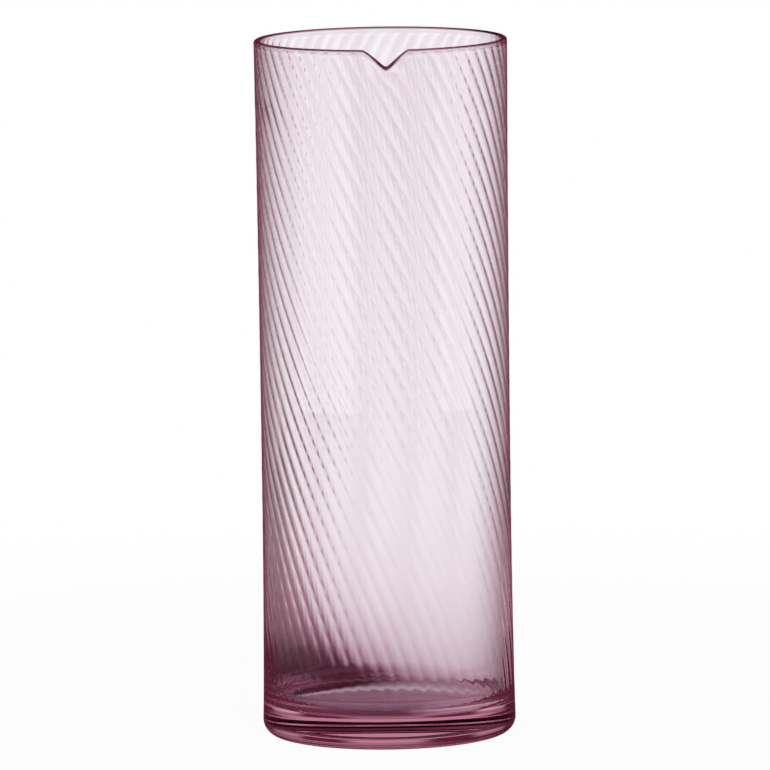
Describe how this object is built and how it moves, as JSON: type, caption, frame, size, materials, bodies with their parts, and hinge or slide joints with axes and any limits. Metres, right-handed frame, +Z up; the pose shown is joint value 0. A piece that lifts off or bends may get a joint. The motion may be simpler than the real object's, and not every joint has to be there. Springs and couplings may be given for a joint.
{
  "type": "jug",
  "caption": "Tall cylindrical glass carafe with fine swirling ribs inside the wall, a pinched V pouring lip and a thick solid foot.",
  "frame": {"origin": "centre of the foot, on the surface that the carafe stands on", "axes": "+Z up along the body's axis, -Y towards the pouring lip, +X to the right when the lip faces the viewer"},
  "size_m": [0.0956, 0.0978, 0.264],
  "materials": {
    "tinted_glass": "clear rose-tinted blown glass, fire polished"
  },
  "bodies": {
    "root": {"glass_body": "tinted_glass"}
  },
  "joints": []
}
